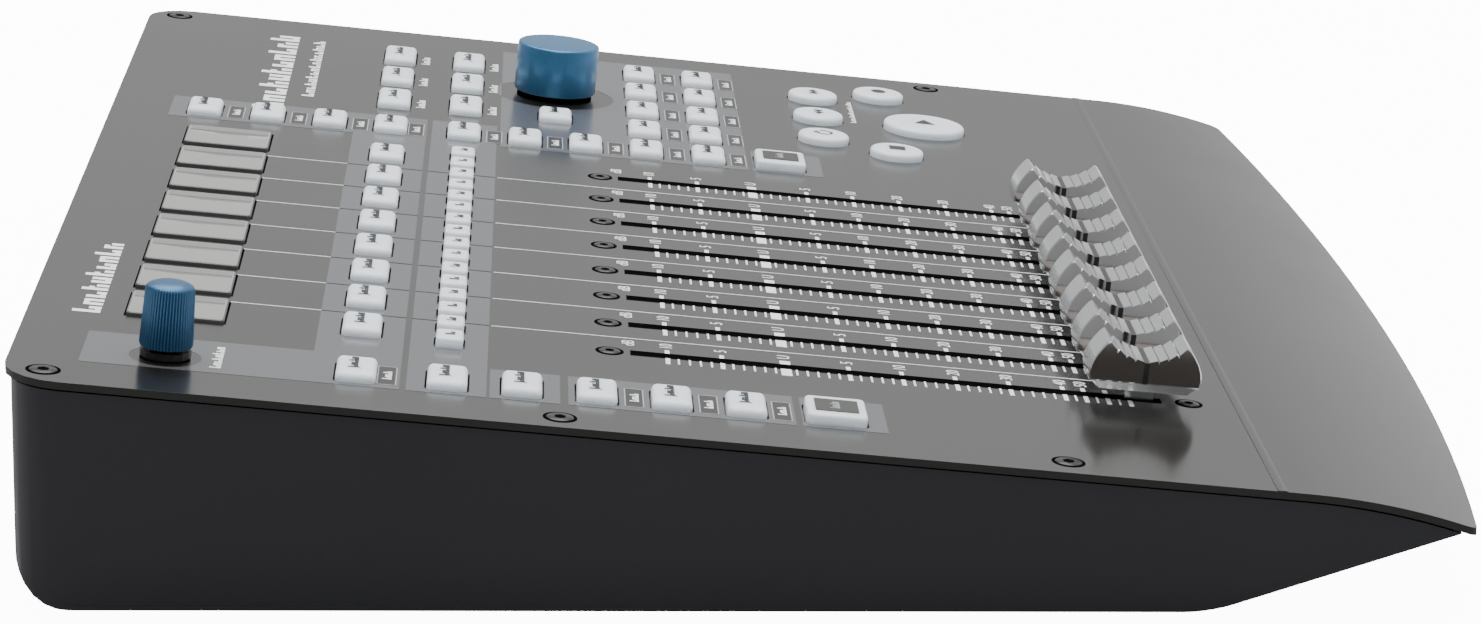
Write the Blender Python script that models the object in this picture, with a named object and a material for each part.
"""Desktop fader controller: a low wedge-shaped console with eight motor faders.

Units are metres and +Z is up.  +X is the operator's right, and the operator sits at -Y and
looks along +Y.  The origin is on the table, under the middle of the console.

Everything mounted on the sloping working face is placed in face coordinates: u to the right
from mid-width, v up the slope from the fold, and h above the face.  The empty "working_face"
carries those axes, and the moving pieces are its children.
"""
import math

import bmesh
import bpy
from mathutils import Matrix

# ------------------------------------------------------------------ driving dimensions
WIDTH = 0.350                         # top plate, side to side
FACE_LENGTH = 0.2464                  # working face, from the fold to the back edge
FACE_SLOPE = math.radians(5.05)
FOLD_HEIGHT = 0.0251                  # working face above the underside, at the fold
LIP_START = 0.0052                    # where the palm lip starts to curve down, ahead of the fold
LIP_BEND = 0.143                      # radius of that curve, which runs to the front edge
LIP_END = math.radians(27.0)          # slope where the curve is cut, past the front edge
LIP_MIDDLE = 0.0504                   # front edge ahead of the fold, at mid-width
LIP_SIDE = 0.0388                     # the same at the two sides
FRONT_CORNER = 0.0025                 # plan radius of the plate's front corners
BACK_CORNER = 0.011                   # plan radius of the plate's back corners
PLATE = 0.0015                        # top plate thickness
WALL = 0.002                          # base wall thickness
SHADOW_GAP = 0.0006                   # between the plate and the base
OVERHANG = 0.001                      # plate past the base at the sides
FRONT_OVERHANG = 0.003                # and along the front edge
BACK_OVERHANG = 0.0011
BASE_RADIUS = 0.011                   # back bottom edge of the base
BASE_CORNER = 0.0096                  # plan radius of the base's back corners
CHAMFER_START = 0.0132                # where the front chamfer begins, behind the fold
FOOT_HEIGHT = 0.0025
FOOT_DIAMETER = 0.016
GLUE = 0.0003                         # film between a foot and the floor of the base

KEY_RISE = 0.0022                     # key top above the face
KEY_TRAVEL = 0.0012
KEY_GAP = 0.00035                     # key to plate opening
KEY_FLANGE = 0.0007                   # retaining flange beyond the key, under the plate
KEY_CORNER = 0.0011
BOARD = 0.0016                        # circuit board thickness
BOARD_DEPTH = 0.0066                  # top of the control board under the face
CLEAR = 0.0004                        # between pieces that only touch

# ------------------------------------------------------------------ layout on the face
FADERS = 8
FADER_PITCH = 0.02148
FADER_U = [-0.1182 + FADER_PITCH * k for k in range(FADERS)]
SLOT_WIDTH = 0.0019
SLOT_V = (0.0169, 0.1255)
FADER_TRAVEL = 0.100
CAP_REST_V = 0.0212
CAP_LENGTH = 0.0235
CAP_WIDTH = 0.0110
STEM_LENGTH = 0.006
STEM_WIDTH = 0.0011

LEFT_U = -0.1509
RIGHT_U = 0.0624
KEY_SIZE = (0.0131, 0.0079)
SHIFT_SIZE = (0.0131, 0.0120)
LEFT_KEYS = {
    "arm_key": 0.1802,
    "solo_clear_key": 0.1625,
    "mute_clear_key": 0.1479,
    "bypass_key": 0.1332,
    "macro_key": 0.1185,
    "link_key": 0.1038,
}
RIGHT_KEYS = {
    "mode_key_1": 0.2246,
    "mode_key_2": 0.2097,
    "mode_key_3": 0.1949,
    "mode_key_4": 0.1803,
    "mode_key_5": 0.1627,
    "previous_key": 0.1480,
    "next_key": 0.1333,
    "mix_key_1": 0.1186,
    "mix_key_2": 0.1035,
}
SHIFT_V = 0.0861
SELECT_V = 0.1803
MUTE_SOLO_V = 0.1626
MUTE_SOLO_SIZE = (0.0071, 0.0055)
MUTE_SOLO_OFFSET = FADER_PITCH / 4    # each pair straddles its fader
AUTOMATION_U = [0.0907, 0.1160, 0.1412]
AUTOMATION_V = (0.1803, 0.1627)
AUTOMATION_SIZE = (0.0161, 0.0079)
MIX_U = [0.0836, 0.1048, 0.1260, 0.1473]
MIX_V = (0.1186, 0.1035)
ENTER_KEY = (0.0896, 0.1406)
ENTER_SIZE = (0.0110, 0.0080)
TRANSPORT = {                          # name: (u, v, diameter)
    "loop_key": (0.0934, 0.0735, 0.0127),
    "rewind_key": (0.1168, 0.0735, 0.0127),
    "forward_key": (0.1402, 0.0735, 0.0127),
    "stop_key": (0.0839, 0.0558, 0.0132),
    "record_key": (0.1487, 0.0558, 0.0132),
    "play_key": (0.1163, 0.0463, 0.0206),
}
DISPLAY_V = (0.2076, 0.2271)
DISPLAY_WIDTH = 0.0169
DISPLAY_OFFSET = 0.0023                # window centre to the right of its fader
DISPLAY_RISE = 0.0007

PAN_KNOB = (-0.1514, 0.2171)
PAN_KNOB_D = (0.0105, 0.0093)          # foot and top
PAN_KNOB_H = (0.0024, 0.0152)
NAV_KNOB = (0.1154, 0.1408)
NAV_KNOB_D = 0.0204
NAV_KNOB_H = (0.0014, 0.0139)
SHAFT_D = 0.0060
BUSHING_D = 0.0070
NUT_D = 0.0100
NUT_HEIGHT = 0.0017

# ------------------------------------------------------------------ back wall connectors
IO_HEIGHT = 0.0230                     # connector centres above the underside
POWER_X = 0.1300
DC_X = 0.0980
USB_X = 0.0620
FOOTSWITCH_X = 0.0200
POWER_D = 0.0090
POWER_TRAVEL = 0.0015

# ------------------------------------------------------------------ derived places
BACK_Y = FACE_LENGTH * math.cos(FACE_SLOPE)
FOLD_Y = (LIP_MIDDLE - BACK_Y) / 2     # puts the plan's middle at the origin
FOLD_Z = FOOT_HEIGHT + FOLD_HEIGHT
FACE = Matrix.Translation((0, FOLD_Y, FOLD_Z)) @ Matrix.Rotation(FACE_SLOPE, 4, "X")
BEND_Y = FOLD_Y - LIP_START * math.cos(FACE_SLOPE) + LIP_BEND * math.sin(FACE_SLOPE)
BEND_Z = FOLD_Z - LIP_START * math.sin(FACE_SLOPE) - LIP_BEND * math.cos(FACE_SLOPE)
BASE_BACK = FOLD_Y + BACK_Y - BACK_OVERHANG
UPRIGHT = Matrix.Identity(4)
# profiles are drawn in (y, z) and stacked along x
SIDEWAYS = Matrix(((0, 0, 1, 0), (1, 0, 0, 0), (0, 1, 0, 0), (0, 0, 0, 1)))
# outlines drawn in (x, z) and stacked towards the back
BACKWARDS = Matrix(((1, 0, 0, 0), (0, 0, 1, 0), (0, -1, 0, 0), (0, 0, 0, 1)))

MATERIALS = {                          # colour, metallic, roughness
    "face_paint": ((0.19, 0.19, 0.19), 0.4, 0.42),
    "base_paint": ((0.018, 0.018, 0.021), 0.0, 0.45),
    "key_silicone": ((0.74, 0.79, 0.82), 0.0, 0.50),
    "cap_chrome": ((0.62, 0.62, 0.63), 1.0, 0.22),
    "knob_blue": ((0.035, 0.13, 0.28), 0.2, 0.40),
    "display_glass": ((0.30, 0.30, 0.30), 0.0, 0.12),
    "board_green": ((0.02, 0.11, 0.05), 0.0, 0.50),
    "fader_steel": ((0.45, 0.46, 0.47), 1.0, 0.35),
    "encoder_steel": ((0.30, 0.30, 0.31), 1.0, 0.40),
    "socket_black": ((0.02, 0.02, 0.02), 0.0, 0.40),
    "socket_steel": ((0.60, 0.60, 0.62), 1.0, 0.30),
    "foot_rubber": ((0.03, 0.03, 0.03), 0.0, 0.80),
}


# ------------------------------------------------------------------ building helpers
def clear_scene():
    for item in list(bpy.data.objects):
        bpy.data.objects.remove(item, do_unlink=True)


def new_collection(name):
    group = bpy.data.collections.new(name)
    bpy.context.scene.collection.children.link(group)
    return group


def material(name):
    if name in bpy.data.materials:
        return bpy.data.materials[name]
    colour, metallic, roughness = MATERIALS[name]
    made = bpy.data.materials.new(name)
    made.use_nodes = True
    shader = made.node_tree.nodes["Principled BSDF"]
    shader.inputs["Base Color"].default_value = (*colour, 1.0)
    shader.inputs["Metallic"].default_value = metallic
    shader.inputs["Roughness"].default_value = roughness
    return made


def rectangle(width, length, corner=0.0, centre=(0.0, 0.0)):
    """Rectangle outline, counter-clockwise, its corners cut off by `corner`."""
    x, y = width / 2, length / 2
    cx, cy = centre
    if not corner:
        points = [(-x, -y), (x, -y), (x, y), (-x, y)]
    else:
        c = corner
        points = [(c - x, -y), (x - c, -y), (x, c - y), (x, y - c),
                  (x - c, y), (c - x, y), (-x, y - c), (-x, c - y)]
    return [(cx + px, cy + py) for px, py in points]


def circle(diameter, sides=24, centre=(0.0, 0.0)):
    turn = 2 * math.pi / sides
    return [(centre[0] + diameter / 2 * math.cos(turn * k),
             centre[1] + diameter / 2 * math.sin(turn * k)) for k in range(sides)]


def add_loft(bm, sections, matrix=UPRIGHT):
    """Add to bm the closed solid through outlines stacked along Z."""
    loops = [[bm.verts.new(matrix @ Matrix.Translation((x, y, z)).to_translation())
              for x, y in outline] for outline, z in sections]
    for low, high in zip(loops, loops[1:]):
        for i in range(len(low)):
            j = (i + 1) % len(low)
            bm.faces.new((low[i], low[j], high[j], high[i]))
    bm.faces.new(list(reversed(loops[0])))
    bm.faces.new(loops[-1])


def as_object(name, bm, group, finish):
    mesh = bpy.data.meshes.new(name)
    bm.to_mesh(mesh)
    bm.free()
    mesh.materials.append(material(finish))
    item = bpy.data.objects.new(name, mesh)
    group.objects.link(item)
    return item


def loft(name, sections, finish, group, matrix=UPRIGHT):
    bm = bmesh.new()
    add_loft(bm, sections, matrix)
    return as_object(name, bm, group, finish)


def tool(name, solids, group):
    """A cutter made of separate solids, each a (sections, matrix) pair."""
    bm = bmesh.new()
    for sections, matrix in solids:
        add_loft(bm, sections, matrix)
    item = as_object(name, bm, group, "socket_black")
    item.hide_render = True
    item.display_type = "WIRE"
    return item


def combine(item, operation, other):
    cut = item.modifiers.new(other.name, "BOOLEAN")
    cut.operation = operation
    cut.object = other
    cut.solver = "EXACT"


def on_face(item, face, u=0.0, v=0.0):
    item.parent = face
    item.location = (u, v, 0.0)


def round_shading(item):
    item.data.shade_smooth()
    item.data.set_sharp_from_angle(angle=math.radians(32))


# ------------------------------------------------------------------ shared profiles
def plate_profile(depth, back, end=LIP_END, steps=8):
    """Points in (y, z) from the back to the front, `depth` under the top surface.

    The face runs straight from `back` behind the fold to LIP_START ahead of it, then curves
    down until its slope is `end`.
    """
    radius = LIP_BEND - depth
    bend = []
    for i in range(steps + 1):
        angle = FACE_SLOPE + (end - FACE_SLOPE) * i / steps
        bend.append((BEND_Y - radius * math.sin(angle), BEND_Z + radius * math.cos(angle)))
    run = back + LIP_START
    first = (bend[0][0] + run * math.cos(FACE_SLOPE), bend[0][1] + run * math.sin(FACE_SLOPE))
    return [first, *bend]


def front_edge(x):
    """How far the plate's bowed front edge lies ahead of the fold at x."""
    sagitta = LIP_MIDDLE - LIP_SIDE
    radius = (WIDTH ** 2 / 4 + sagitta ** 2) / (2 * sagitta)
    return LIP_MIDDLE - radius + math.sqrt(radius ** 2 - x ** 2)


def back_corners(half, back, radius, steps=5):
    """Plan points round the two back corners, from the right one to the left one."""
    points = []
    for side, start in ((1, 0), (-1, 90)):
        for i in range(steps + 1):
            angle = math.radians(start + 90 * i / steps)
            points.append((side * (half - radius) + radius * math.cos(angle),
                           back - radius + radius * math.sin(angle)))
    return points


def plate_plan(steps=24):
    """Plan outline of the top plate, counter-clockwise from the left end of the front edge."""
    half, radius = WIDTH / 2, FRONT_CORNER
    reach = half - radius
    stations = [reach * (2 * i / steps - 1) for i in range(steps + 1)]
    front = [(x, FOLD_Y - front_edge(x)) for x in stations]
    angles = [math.radians(90 * i / 4) for i in range(1, 5)]
    right = [(reach + radius * math.sin(a), front[-1][1] + radius * (1 - math.cos(a)))
             for a in angles]
    left = [(-x, y) for x, y in reversed(right)]
    return left + front + right + back_corners(half, FOLD_Y + BACK_Y, BACK_CORNER)


def base_plan(inset):
    """Plan that rounds the base's back corners; its front is well ahead of the console."""
    half, ahead = WIDTH / 2 - OVERHANG - inset, FOLD_Y - 0.100
    corners = back_corners(half, BASE_BACK - inset, BASE_CORNER - inset)
    return [(-half, ahead), (half, ahead)] + corners


def key_sections(outline_at, rise=KEY_RISE):
    """Sections of a key: retaining flange, body and a softened top edge."""
    edge = 0.0005
    foot = BOARD_DEPTH - KEY_TRAVEL - CLEAR
    shelf = PLATE + CLEAR
    return [(outline_at(2 * KEY_FLANGE), -foot), (outline_at(2 * KEY_FLANGE), -shelf),
            (outline_at(0.0), -shelf), (outline_at(0.0), rise - edge),
            (outline_at(-edge), rise)]


def block_key(size):
    return key_sections(lambda extra: rectangle(size[0] + extra, size[1] + extra, KEY_CORNER))


def round_key(diameter, sides):
    return key_sections(lambda extra: circle(diameter + extra, sides))


# ------------------------------------------------------------------ keys: names and places
def single_keys():
    """Every key that moves on its own: (name, u, v, width, length)."""
    keys = [(name, LEFT_U, v, *KEY_SIZE) for name, v in LEFT_KEYS.items()]
    keys += [("left_shift_key", LEFT_U, SHIFT_V, *SHIFT_SIZE)]
    keys += [(f"select_key_{k + 1}", u, SELECT_V, *KEY_SIZE) for k, u in enumerate(FADER_U)]
    keys += [(name, RIGHT_U, v, *KEY_SIZE) for name, v in RIGHT_KEYS.items()]
    keys += [("right_shift_key", RIGHT_U, SHIFT_V, *SHIFT_SIZE)]
    keys += [("enter_key", *ENTER_KEY, *ENTER_SIZE)]
    return keys


def key_banks():
    """Keys moulded on one strip: name, key places and key size."""
    pairs = [(u + side * MUTE_SOLO_OFFSET, MUTE_SOLO_V) for u in FADER_U for side in (-1, 1)]
    automation = [(u, v) for v in AUTOMATION_V for u in AUTOMATION_U]
    mix = [(u, v) for v in MIX_V for u in MIX_U]
    return [("mute_solo_keypad", pairs, MUTE_SOLO_SIZE),
            ("automation_keypad", automation, AUTOMATION_SIZE),
            ("mix_keypad", mix, KEY_SIZE)]


# ------------------------------------------------------------------ casing
def make_top_plate(parts, cutters):
    """Folded steel plate with every opening for keys, faders, knobs and displays."""
    overrun = 0.060
    upper = plate_profile(0.0, FACE_LENGTH + overrun)
    lower = plate_profile(PLATE, FACE_LENGTH + overrun)
    outline = list(reversed(lower)) + upper
    half = WIDTH / 2 + 0.010
    plate = loft("top_plate", [(outline, -half), (outline, half)], "face_paint", parts, SIDEWAYS)
    plan = plate_plan()
    blank = tool("plate_blank", [([(plan, -0.010), (plan, 0.080)], UPRIGHT)], cutters)
    combine(plate, "INTERSECT", blank)

    def hole(outline):
        return ([(outline, -0.004), (outline, 0.004)], FACE)

    gap = 2 * KEY_GAP
    holes = [hole(rectangle(w + gap, l + gap, KEY_CORNER, (u, v)))
             for _, u, v, w, l in single_keys()]
    for _, places, size in key_banks():
        holes += [hole(rectangle(size[0] + gap, size[1] + gap, 0, place)) for place in places]
    holes += [hole(circle(d + gap, 24, (u, v))) for u, v, d in TRANSPORT.values()]
    slot_v = sum(SLOT_V) / 2
    slot = SLOT_V[1] - SLOT_V[0]
    holes += [hole(rectangle(SLOT_WIDTH, slot, 0, (u, slot_v))) for u in FADER_U]
    window = (DISPLAY_WIDTH + 2 * CLEAR, DISPLAY_V[1] - DISPLAY_V[0] + 2 * CLEAR)
    window_v = sum(DISPLAY_V) / 2
    holes += [hole(rectangle(*window, 0, (u + DISPLAY_OFFSET, window_v))) for u in FADER_U]
    holes += [hole(circle(BUSHING_D + 2 * CLEAR, 16, place)) for place in (PAN_KNOB, NAV_KNOB)]
    combine(plate, "DIFFERENCE", tool("plate_openings", holes, cutters))


def base_sections(inset, top, stations=14, arc_steps=7):
    """Profiles of the base's outside (inset 0) or of the hollow inside it, along x.

    `top` gives the upper boundary, as (y, z) points from the back to the front.
    """
    half = WIDTH / 2 - OVERHANG - inset
    floor = FOOT_HEIGHT + inset
    back = BASE_BACK - inset
    radius = BASE_RADIUS - inset
    sections = []
    for i in range(stations + 1):
        x = half * (2 * i / stations - 1)
        toe = (FOLD_Y + CHAMFER_START, FOOT_HEIGHT)
        tip = lip_point(FOLD_Y - front_edge(x) + FRONT_OVERHANG)
        run, rise = tip[0] - toe[0], tip[1] - toe[1]
        length = math.hypot(run, rise)
        # the chamfer line moved inwards by the wall, met with the floor and the upper boundary
        start = (toe[0] + inset * rise / length, toe[1] - inset * run / length)
        slope = rise / run
        toe_in = (start[0] + (floor - start[1]) / slope, floor)
        upper, tip_z = top(tip)
        tip_in = (start[0] + (tip_z - start[1]) / slope, tip_z) if inset else tip
        arc = []
        for k in range(arc_steps + 1):
            angle = math.radians(-90 + 90 * k / arc_steps)
            arc.append((back - radius + radius * math.cos(angle),
                        floor + radius + radius * math.sin(angle)))
        sections.append(([tip_in, toe_in, *arc, *upper], x))
    return sections


def lip_slope(y):
    """Slope of the base's upper boundary where it lies at y under the lip."""
    return math.asin((BEND_Y - y) / (LIP_BEND - PLATE - SHADOW_GAP))


def lip_point(y):
    """Point at y on the base's upper boundary under the lip."""
    return (y, BEND_Z + (LIP_BEND - PLATE - SHADOW_GAP) * math.cos(lip_slope(y)))


def make_base(parts, cutters):
    """Folded steel tub: sides, back, floor and bowed front chamfer, open at the top."""
    depth = PLATE + SHADOW_GAP
    back_run = (BASE_BACK - FOLD_Y) / math.cos(FACE_SLOPE) - depth * math.tan(FACE_SLOPE)
    outside = base_sections(
        0.0, lambda tip: (plate_profile(depth, back_run, lip_slope(tip[0]))[:-1], tip[1]))
    above = 0.080
    inside = base_sections(WALL, lambda tip: ([(BASE_BACK - WALL, above)], above))
    base = loft("base_shell", outside, "base_paint", parts, SIDEWAYS)
    hollow = tool("base_hollow", [(inside, SIDEWAYS)], cutters)
    for item, inset in ((base, 0.0), (hollow, WALL)):
        plan = base_plan(inset)
        corners = tool(f"{item.name}_corners", [([(plan, -0.010), (plan, 0.100)], UPRIGHT)], cutters)
        combine(item, "INTERSECT", corners)
    combine(base, "DIFFERENCE", hollow)

    def port(outline, x):
        place = Matrix.Translation((x, BASE_BACK - 0.006, FOOT_HEIGHT + IO_HEIGHT))
        return ([(outline, 0.0), (outline, 0.012)], place @ BACKWARDS)

    play = 2 * CLEAR
    ports = [port(circle(POWER_D + play, 20), POWER_X), port(circle(DC_D + play, 20), DC_X),
             port(rectangle(USB_SIZE[0] + play, USB_SIZE[1] + play), USB_X),
             port(circle(FOOTSWITCH_D + play, 24), FOOTSWITCH_X)]
    combine(base, "DIFFERENCE", tool("base_ports", ports, cutters))


def make_feet(parts):
    """Four rubber feet stuck under the floor."""
    reach_x, front_y, back_y = 0.140, FOLD_Y + 0.035, BASE_BACK - 0.030
    places = {"front_left": (-reach_x, front_y), "front_right": (reach_x, front_y),
              "back_left": (-reach_x, back_y), "back_right": (reach_x, back_y)}
    for corner, (x, y) in places.items():
        sections = [(circle(FOOT_DIAMETER - 0.001, 20), 0.0),
                    (circle(FOOT_DIAMETER, 20), 0.0006),
                    (circle(FOOT_DIAMETER, 20), FOOT_HEIGHT - GLUE)]
        foot = loft(f"foot_{corner}", sections, "foot_rubber", parts)
        foot.location = (x, y, 0.0)


# ------------------------------------------------------------------ inside
FADER_BODY = (0.0110, 0.1300, 0.0110)  # width, length and height of a fader's frame
FADER_BODY_V = 0.0710                  # its middle
FADER_GROOVE = 0.0027
FADER_TOP = 0.0022                     # top of the frame under the face
MOTOR_D = 0.0120
MOTOR_V = 0.1420


def make_fader_bank(parts, cutters, face):
    """Eight grooved fader frames and their motors on one long board."""
    under = FADER_TOP + FADER_BODY[2]
    length = FADER_BODY[1] + 0.018
    width = FADER_PITCH * (FADERS - 1) + 0.018
    middle = (FADER_U[0] + FADER_U[-1]) / 2
    sheet = rectangle(width, length, 0, (middle, FADER_BODY_V + 0.006))
    bank = loft("fader_bank", [(sheet, -under - BOARD), (sheet, -under)], "fader_steel", parts)
    on_face(bank, face)
    bite = 0.0005                      # frames and motors sink into the board, to join it
    frames, grooves = [], []
    for u in FADER_U:
        frame = rectangle(FADER_BODY[0], FADER_BODY[1], 0, (u, FADER_BODY_V))
        frames.append(([(frame, -under - bite), (frame, -FADER_TOP)], FACE))
        motor = circle(MOTOR_D, 12, (u, MOTOR_V))
        frames.append(([(motor, -under - bite), (motor, -FADER_TOP - 0.0055)], FACE))
        groove = rectangle(FADER_GROOVE, FADER_TRAVEL + STEM_LENGTH + 0.003, 0,
                           (u, CAP_REST_V + FADER_TRAVEL / 2))
        grooves.append(([(groove, -FADER_TOP - 0.0070), (groove, 0.001)], FACE))
    for k in range(0, len(frames), 2):
        combine(bank, "UNION", tool(f"fader_frame_{k // 2 + 1}", frames[k:k + 1], cutters))
        combine(bank, "UNION", tool(f"fader_motor_{k // 2 + 1}", frames[k + 1:k + 2], cutters))
    combine(bank, "DIFFERENCE", tool("fader_grooves", grooves, cutters))


def make_control_board(parts, cutters, face):
    """Board under all the keys, notched for the faders and drilled for the encoders."""
    left, right, back, front = -0.1690, 0.1690, 0.1990, 0.0300
    side, bay, wing = -0.1300, 0.1520, 0.0760
    outline = [(left, wing), (side, wing), (side, bay), (0.0470, bay), (0.0470, front),
               (right, front), (right, 0.2350), (0.0500, 0.2350), (0.0500, back),
               (-0.1350, back), (-0.1350, 0.2350), (left, 0.2350)]
    sections = [(outline, -BOARD_DEPTH - BOARD), (outline, -BOARD_DEPTH)]
    board = loft("control_board", sections, "board_green", parts)
    on_face(board, face)
    holes = [([(rectangle(ENCODER + 0.001, ENCODER + 0.001, 0, place), -0.012),
               (rectangle(ENCODER + 0.001, ENCODER + 0.001, 0, place), 0.0)], FACE)
             for place in (PAN_KNOB, NAV_KNOB)]
    combine(board, "DIFFERENCE", tool("encoder_windows", holes, cutters))


def make_display_bar(parts, cutters, face):
    """One board with eight display blocks that stand in the plate's windows."""
    v0, v1 = DISPLAY_V
    middle_u = (FADER_U[0] + FADER_U[-1]) / 2 + DISPLAY_OFFSET
    middle_v = (v0 + v1) / 2
    width = FADER_PITCH * (FADERS - 1) + DISPLAY_WIDTH + 0.003
    shelf = PLATE + CLEAR
    sheet = rectangle(width, v1 - v0 + 0.008, 0, (middle_u, middle_v))
    bar = loft("display_bar", [(sheet, -shelf - 0.003), (sheet, -shelf)], "display_glass", parts)
    on_face(bar, face)
    for k, u in enumerate(FADER_U):
        place = (u + DISPLAY_OFFSET, middle_v)
        top = rectangle(DISPLAY_WIDTH - 0.0004, v1 - v0 - 0.0004, 0, place)
        body = rectangle(DISPLAY_WIDTH, v1 - v0, 0, place)
        block = [(body, -shelf - 0.001), (body, DISPLAY_RISE - 0.0002), (top, DISPLAY_RISE)]
        combine(bar, "UNION", tool(f"display_block_{k + 1}", [(block, FACE)], cutters))


# ------------------------------------------------------------------ knobs
ENCODER = 0.0120                       # square body of an encoder


def make_encoder(name, parts, face, place, shaft_top):
    """Square body under the plate, bushing through it, clamping nut and shaft."""
    square = [(-ENCODER / 2, -ENCODER / 2), (ENCODER / 2, -ENCODER / 2),
              (ENCODER / 2, ENCODER / 2), (-ENCODER / 2, ENCODER / 2)]
    sides = 16
    # the square is walked with as many points as the round sections
    body = []
    for a, b in zip(square, square[1:] + square[:1]):
        for k in range(sides // 4):
            share = k / (sides // 4)
            body.append((a[0] + share * (b[0] - a[0]), a[1] + share * (b[1] - a[1])))
    turn = math.radians(-135)
    ring = {d: [(d / 2 * math.cos(turn + 2 * math.pi * k / sides),
                 d / 2 * math.sin(turn + 2 * math.pi * k / sides)) for k in range(sides)]
            for d in (BUSHING_D, NUT_D, SHAFT_D)}
    shelf = PLATE + CLEAR
    sections = [(body, -0.0100), (body, -shelf), (ring[BUSHING_D], -shelf),
                (ring[BUSHING_D], CLEAR), (ring[NUT_D], CLEAR), (ring[NUT_D], NUT_HEIGHT),
                (ring[SHAFT_D], NUT_HEIGHT), (ring[SHAFT_D], shaft_top)]
    on_face(loft(name, sections, "encoder_steel", parts), face, *place)


def make_knob(name, parts, face, place, bore_top, outside, sides=32):
    """Turned knob; `outside` is its (diameter, height) profile from the foot to the crown."""
    bore = circle(SHAFT_D + 2 * CLEAR, sides)
    sections = [(bore, bore_top), (bore, outside[0][1])]
    sections += [(circle(d, sides), h) for d, h in outside]
    knob = loft(name, sections, "knob_blue", parts)
    on_face(knob, face, *place)
    round_shading(knob)


def make_knobs(parts, face):
    foot, top = PAN_KNOB_H
    make_encoder("pan_encoder", parts, face, PAN_KNOB, top - 0.0035)
    make_knob("pan_knob", parts, face, PAN_KNOB, top - 0.0030,
              [(PAN_KNOB_D[0], foot), (PAN_KNOB_D[1], top - 0.0007), (PAN_KNOB_D[1] - 0.0016, top)])
    foot, top = NAV_KNOB_H
    skirt = foot + 0.0006
    make_encoder("jog_encoder", parts, face, NAV_KNOB, top - 0.0040)
    hollow = NUT_D + 2 * CLEAR
    bore = SHAFT_D + 2 * CLEAR
    sides = 32
    sections = [(circle(bore, sides), top - 0.0032), (circle(bore, sides), NUT_HEIGHT + CLEAR),
                (circle(hollow, sides), NUT_HEIGHT + CLEAR), (circle(hollow, sides), foot),
                (circle(NAV_KNOB_D - 0.0008, sides), foot), (circle(NAV_KNOB_D, sides), skirt),
                (circle(NAV_KNOB_D, sides), top - 0.0012), (circle(NAV_KNOB_D - 0.0020, sides), top),
                (circle(NAV_KNOB_D - 0.0040, sides), top - 0.0004)]
    knob = loft("jog_knob", sections, "knob_blue", parts)
    on_face(knob, face, *NAV_KNOB)
    round_shading(knob)


# ------------------------------------------------------------------ keys and caps
def make_keys(parts, face):
    for name, u, v, width, length in single_keys():
        key = loft(name, block_key((width, length)), "key_silicone", parts)
        on_face(key, face, u, v)
    for name, (u, v, diameter) in TRANSPORT.items():
        sides = 24 if diameter > 0.015 else 20
        key = loft(name, round_key(diameter, sides), "key_silicone", parts)
        on_face(key, face, u, v)
        round_shading(key)


def make_key_banks(parts, cutters, face):
    """Keys that share one moulded web under the plate."""
    foot = BOARD_DEPTH - KEY_TRAVEL - CLEAR
    web_top = -foot + 0.0020
    for name, places, size in key_banks():
        us, vs = [p[0] for p in places], [p[1] for p in places]
        margin = 2 * KEY_FLANGE
        web = rectangle(max(us) - min(us) + size[0] + margin, max(vs) - min(vs) + size[1] + margin,
                        0, ((max(us) + min(us)) / 2, (max(vs) + min(vs)) / 2))
        bank = loft(name, [(web, -foot), (web, web_top)], "key_silicone", parts)
        on_face(bank, face)
        edge = 0.0005
        tops = []
        for place in places:
            body = rectangle(*size, KEY_CORNER, place)
            crown = rectangle(size[0] - edge, size[1] - edge, KEY_CORNER, place)
            tops.append(([(body, web_top - edge), (body, KEY_RISE - edge), (crown, KEY_RISE)], FACE))
        combine(bank, "UNION", tool(f"{name}_tops", tops, cutters))


def cap_profile():
    """Side outline of a fader cap in (v, h): two finger peaks and a saddle between them."""
    peak, waist, toe = CAP_LENGTH / 2 - 0.0036, CAP_LENGTH / 2, CAP_LENGTH / 2 - 0.0022
    lower = [(-toe, 0.0029), (toe, 0.0029)]
    right = [(toe + 0.0006, 0.0040), (waist, 0.0055), (waist - 0.0006, 0.0090),
             (waist - 0.0019, 0.0114), (peak, 0.0129)]
    saddle = []
    for k in range(1, 8):
        share = k / 8
        v = peak * (1 - 2 * share)
        saddle.append((v, 0.0092 + 0.0037 * abs(1 - 2 * share) ** 2.2))
    left = [(-v, h) for v, h in reversed(right)]
    return lower + right + saddle + left


def make_caps(parts, cutters, face):
    """Fader caps on flat stems that reach down through the slots into the fader frames."""
    profile = cap_profile()
    half = CAP_WIDTH / 2
    soft = 0.0006
    inner = [(v * 0.985, 0.0029 + (h - 0.0029) * 0.955) for v, h in profile]
    sections = [(inner, -half), (profile, -half + soft), (profile, half - soft), (inner, half)]
    stem = rectangle(STEM_WIDTH, STEM_LENGTH)
    stem_sections = [(stem, -FADER_TOP - 0.0055), (stem, 0.0040)]
    for k, u in enumerate(FADER_U):
        cap = loft(f"fader_cap_{k + 1}", sections, "cap_chrome", parts, SIDEWAYS)
        on_face(cap, face, u, CAP_REST_V)
        place = FACE @ Matrix.Translation((u, CAP_REST_V, 0.0))
        combine(cap, "UNION", tool(f"fader_stem_{k + 1}", [(stem_sections, place)], cutters))


# ------------------------------------------------------------------ back connectors
DC_D = 0.0110
USB_SIZE = (0.0120, 0.0110)
FOOTSWITCH_D = 0.0110


def io_place(x, inwards):
    """Frame with +Z towards the back, its origin `inwards` ahead of the base's outside."""
    return Matrix.Translation((x, BASE_BACK - inwards, FOOT_HEIGHT + IO_HEIGHT)) @ BACKWARDS


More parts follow.
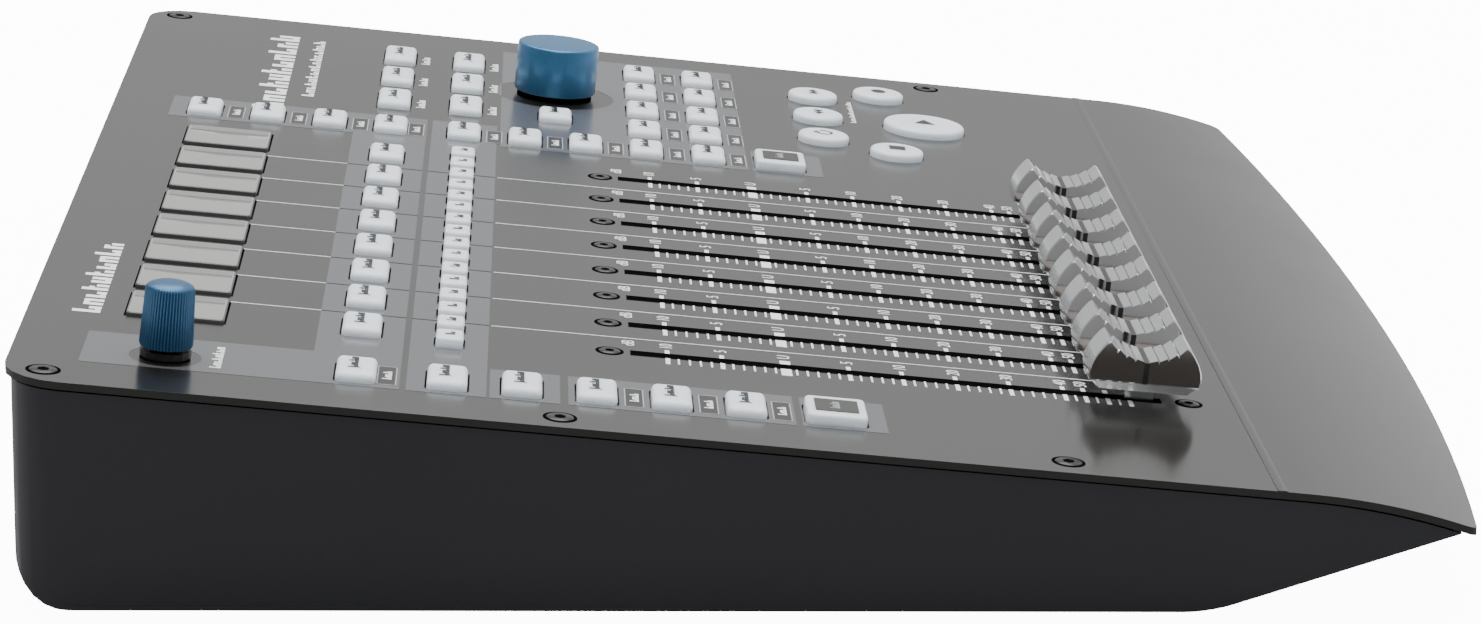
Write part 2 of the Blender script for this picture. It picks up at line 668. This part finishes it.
def make_connectors(parts, cutters):
    flush = 0.0002
    depth = 0.0160
    inside = WALL + CLEAR

    def body(name, x, nose, box, finish):
        """Square block behind the wall with a nose standing in the wall's opening."""
        item = loft(name, [(box, 0.0), (box, depth - inside)], finish, parts, io_place(x, depth))
        tip = tool(f"{name}_nose", [([(nose, 0.001), (nose, depth - flush)], io_place(x, depth))],
                   cutters)
        combine(item, "UNION", tip)
        return item

    usb = body("usb_socket", USB_X, rectangle(*USB_SIZE), rectangle(0.0150, 0.0130), "socket_steel")
    cavity = rectangle(0.0088, 0.0080)
    tongue = rectangle(0.0056, 0.0030)
    mouth = ([(cavity, depth - 0.0095), (cavity, depth + 0.002)], io_place(USB_X, depth))
    combine(usb, "DIFFERENCE", tool("usb_mouth", [mouth], cutters))
    blade = ([(tongue, depth - 0.0100), (tongue, depth - 0.0015)], io_place(USB_X, depth))
    combine(usb, "UNION", tool("usb_tongue", [blade], cutters))

    dc = body("dc_socket", DC_X, circle(DC_D, 20), rectangle(0.0140, 0.0130), "socket_black")
    bore, pin = circle(0.0064, 16), circle(0.0020, 8)
    mouth = ([(bore, depth - 0.0095), (bore, depth + 0.002)], io_place(DC_X, depth))
    combine(dc, "DIFFERENCE", tool("dc_mouth", [mouth], cutters))
    needle = ([(pin, depth - 0.0100), (pin, depth - 0.0010)], io_place(DC_X, depth))
    combine(dc, "UNION", tool("dc_pin", [needle], cutters))

    jack = body("footswitch_jack", FOOTSWITCH_X, circle(FOOTSWITCH_D, 24),
                rectangle(0.0160, 0.0150), "socket_black")
    bore = circle(0.0066, 16)
    mouth = ([(bore, depth - 0.0140), (bore, depth + 0.002)], io_place(FOOTSWITCH_X, depth))
    combine(jack, "DIFFERENCE", tool("jack_mouth", [mouth], cutters))


def make_power_button(parts):
    """Push button in the back wall; its rim inside the wall keeps it from falling out."""
    proud = POWER_TRAVEL + 0.0003
    rim = WALL + CLEAR
    button, collar = circle(POWER_D, 20), circle(POWER_D + 0.0030, 20)
    crown = circle(POWER_D - 0.0008, 20)
    sections = [(collar, -rim - 0.0050), (collar, -rim), (button, -rim),
                (button, proud - 0.0004), (crown, proud)]
    item = loft("power_button", sections, "socket_black", parts, BACKWARDS)
    item.location = (POWER_X, BASE_BACK, FOOT_HEIGHT + IO_HEIGHT)
    round_shading(item)


# ------------------------------------------------------------------ assembly
def main():
    clear_scene()
    parts = new_collection("fader_controller")
    cutters = new_collection("cutters")
    face = bpy.data.objects.new("working_face", None)
    face.matrix_world = FACE
    parts.objects.link(face)
    make_top_plate(parts, cutters)
    make_base(parts, cutters)
    make_feet(parts)
    make_control_board(parts, cutters, face)
    make_display_bar(parts, cutters, face)
    make_fader_bank(parts, cutters, face)
    make_knobs(parts, face)
    make_keys(parts, face)
    make_key_banks(parts, cutters, face)
    make_caps(parts, cutters, face)
    make_connectors(parts, cutters)
    make_power_button(parts)


main()
